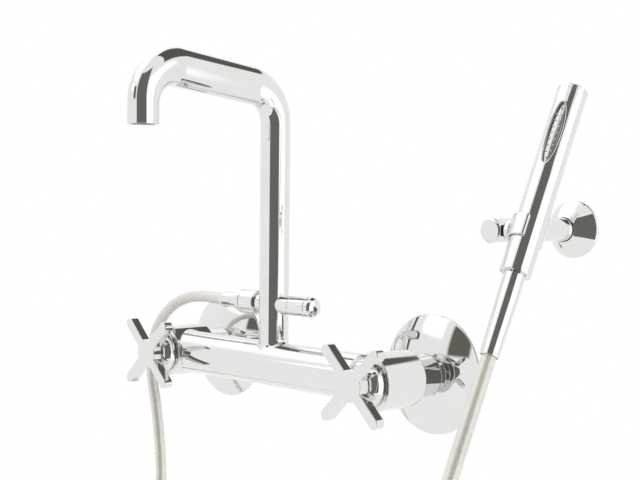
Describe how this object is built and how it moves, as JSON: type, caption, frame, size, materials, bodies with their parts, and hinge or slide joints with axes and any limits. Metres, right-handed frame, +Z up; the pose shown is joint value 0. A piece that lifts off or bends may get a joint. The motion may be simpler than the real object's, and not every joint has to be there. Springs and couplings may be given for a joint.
{
  "type": "wall mounted bath faucet",
  "caption": "Wall mounted bath faucet with two cross handles, high spout, pull diverter, and a stick hand shower on a hose in its wall holder.",
  "frame": {"origin": "on the finished wall, midway between the two inlets, at the height of the mixer axis", "axes": "+Y into the wall, +Z up, +X to the right as seen from the front; the spout reaches towards -Y"},
  "size_m": [0.3951, 0.2818, 0.5251],
  "materials": {
    "chrome": "polished",
    "brass": "machined",
    "stainless": "fine brushed",
    "rubber": "matt",
    "ceramic": "lapped",
    "spray_plastic": "satin",
    "valve_plastic": "satin",
    "hose_metal": "satin, finely ribbed"
  },
  "bodies": {
    "faucet": {"mixer_body": "chrome", "spout": "chrome", "spout_base_seal": "rubber", "aerator_housing": "valve_plastic", "aerator_screen": "stainless", "diverter_housing": "chrome", "hose_outlet_nut": "chrome", "hose_lower_washer": "rubber", "hose_lower_ferrule": "chrome", "hose": "hose_metal", "holder_wall_plate": "stainless", "holder_upper_screw": "stainless", "holder_lower_screw": "stainless", "holder_flange": "chrome", "holder_arm": "chrome", "holder_grub_screw": "stainless", "hot_wall_connector": "brass", "hot_union_washer": "rubber", "hot_union_nut": "chrome", "hot_flange": "chrome", "hot_cartridge_seal": "rubber", "hot_fixed_disc": "ceramic", "hot_cartridge_body": "brass", "hot_bonnet": "chrome", "cold_wall_connector": "brass", "cold_union_washer": "rubber", "cold_union_nut": "chrome", "cold_flange": "chrome", "cold_cartridge_seal": "rubber", "cold_fixed_disc": "ceramic", "cold_cartridge_body": "brass", "cold_bonnet": "chrome"},
    "hot_control": {"hot_spindle": "brass", "hot_moving_disc": "ceramic", "hot_handle": "chrome", "hot_handle_screw": "stainless"},
    "cold_control": {"cold_spindle": "brass", "cold_moving_disc": "ceramic", "cold_handle": "chrome", "cold_handle_screw": "stainless"},
    "diverter": {"diverter_knob": "chrome", "diverter_stem": "stainless", "diverter_spool": "brass", "diverter_inner_o_ring": "rubber", "diverter_outer_o_ring": "rubber"},
    "holder_swivel": {"holder_friction_washer": "rubber", "holder_pivot_pin": "stainless", "holder_clip": "chrome"},
    "hand_shower": {"handset_body": "chrome", "handset_end_cap": "chrome", "handset_spray_plate": "spray_plastic", "handset_waterway": "valve_plastic", "handset_inlet": "brass", "hose_cone_nut": "chrome", "hose_upper_washer": "rubber"}
  },
  "joints": [
    {"name": "hot_handle_turn", "type": "hinge", "parent": "faucet", "child": "hot_control", "pos_m": [-0.1015, -0.07, 0], "axis": [0, -1, 0], "range_deg": [0, 90]},
    {"name": "cold_handle_turn", "type": "hinge", "parent": "faucet", "child": "cold_control", "pos_m": [0.1015, -0.07, 0], "axis": [0, -1, 0], "range_deg": [-90, 0]},
    {"name": "diverter_pull", "type": "slide", "parent": "faucet", "child": "diverter", "axis": [1, 0, 0], "range_m": [0, 0.008]},
    {"name": "holder_tilt", "type": "hinge", "parent": "faucet", "child": "holder_swivel", "pos_m": [0.2048, -0.0729, 0.0949], "axis": [1, 0, 0], "range_deg": [-18, 18], "deforming": ["hose"]},
    {"name": "hand_shower_lift", "type": "slide", "parent": "holder_swivel", "child": "hand_shower", "axis": [0, 0.4571, 0.8894], "range_m": [0, 0.038]}
  ]
}
